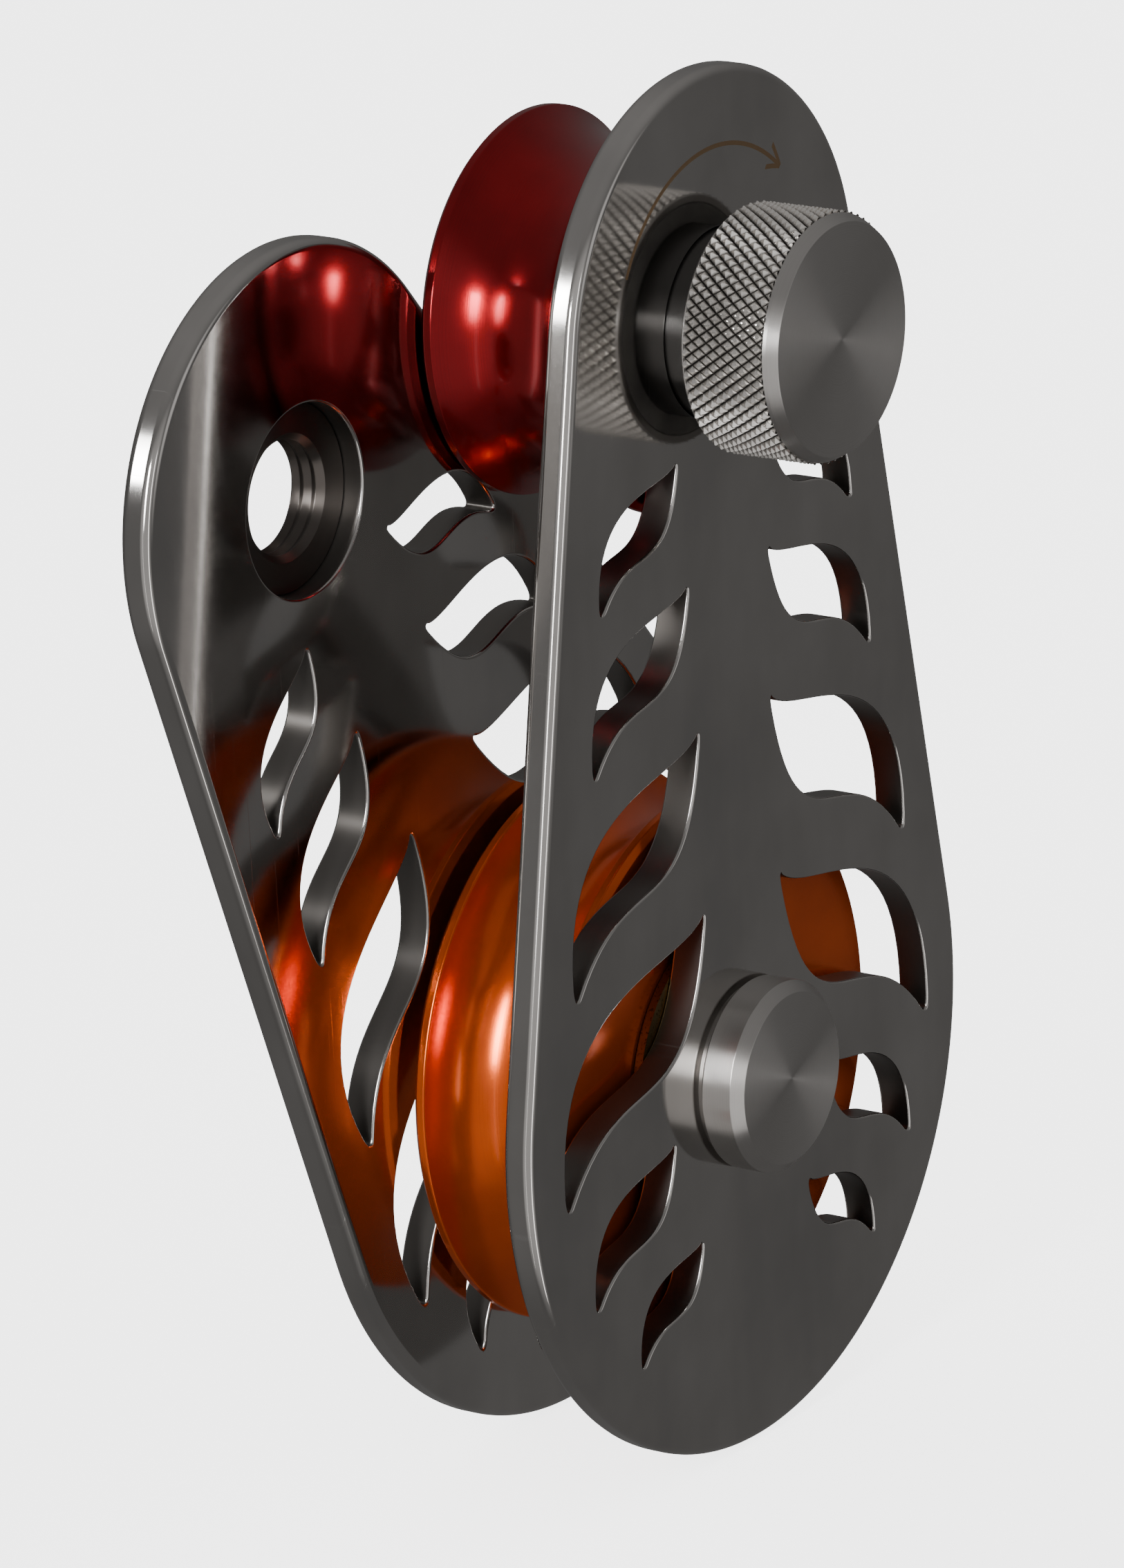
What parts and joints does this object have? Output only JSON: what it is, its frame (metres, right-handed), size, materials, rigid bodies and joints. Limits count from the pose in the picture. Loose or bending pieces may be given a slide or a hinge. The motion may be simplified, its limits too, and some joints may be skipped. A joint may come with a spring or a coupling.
{
  "type": "double sheave block",
  "caption": "Swing-cheek lifting block with a grooved rope sheave and a smaller sling sheave between slotted steel side plates, closed by a knurled screw-in locking pin.",
  "frame": {"origin": "centre of the rope sheave, on the lower axle's axis and midway between the side plates", "axes": "+Z from the rope sheave up to the locking pin, +Y along both axles from the knob side to the rear, +X across the plates"},
  "size_m": [0.1465, 0.0646, 0.2015],
  "materials": {
    "plate_steel": "polished stainless plate, fine scratches",
    "turned_steel": "turned stainless with fine concentric marks",
    "ground_steel": "ground smooth",
    "knurled_steel": "diamond knurl, turned face",
    "spring_steel": "dark spring steel",
    "black_steel": "black oxide",
    "bronze": "oiled bearing bronze",
    "orange_anodised": "orange anodised, gloss",
    "red_anodised": "dark red anodised, gloss",
    "seal_rubber": "matt",
    "white_plastic": "smooth"
  },
  "bodies": {
    "frame": {"front_plate": "plate_steel", "lower_axle": "turned_steel", "bearing_sleeve": "ground_steel", "front_thrust_washer": "bronze", "rear_thrust_washer": "bronze", "friction_washer": "spring_steel", "axle_end_cap": "turned_steel", "end_cap_screw": "black_steel"},
    "rear_plate": {"rear_plate": "plate_steel", "rear_pivot_bush": "bronze", "lock_insert": "turned_steel"},
    "rope_sheave": {"rope_sheave": "orange_anodised", "rope_sheave_bush": "bronze", "front_dust_seal": "seal_rubber", "rear_dust_seal": "seal_rubber"},
    "sling_sheave": {"sling_sheave": "red_anodised", "sling_sheave_bush": "bronze"},
    "pin_carrier": {"knob_washer": "white_plastic"},
    "locking_pin": {"locking_pin": "ground_steel", "pin_snap_ring": "spring_steel", "knurled_knob": "knurled_steel", "knob_grub_screw": "black_steel"}
  },
  "joints": [
    {"name": "rear_swing", "type": "hinge", "parent": "frame", "child": "rear_plate", "pos_m": [0, 0, 0], "axis": [0, 1, 0], "range_deg": [-90, 30]},
    {"name": "rope_sheave_spin", "type": "hinge", "parent": "frame", "child": "rope_sheave", "pos_m": [0, 0, 0], "axis": [0, 1, 0], "continuous": true},
    {"name": "sling_sheave_spin", "type": "hinge", "parent": "frame", "child": "sling_sheave", "pos_m": [0, 0, 0.11], "axis": [0, 1, 0], "continuous": true},
    {"name": "pin_travel", "type": "slide", "parent": "frame", "child": "pin_carrier", "axis": [0, 1, 0], "range_m": [-0.002, 0.005]},
    {"name": "knob_turn", "type": "hinge", "parent": "pin_carrier", "child": "locking_pin", "pos_m": [0, 0, 0.11], "axis": [0, 1, 0], "range_deg": [-360, 900]}
  ],
  "couplings": [
    {"joint": "knob_turn", "follows": "pin_travel", "rad_per_m": 3141.5}
  ]
}
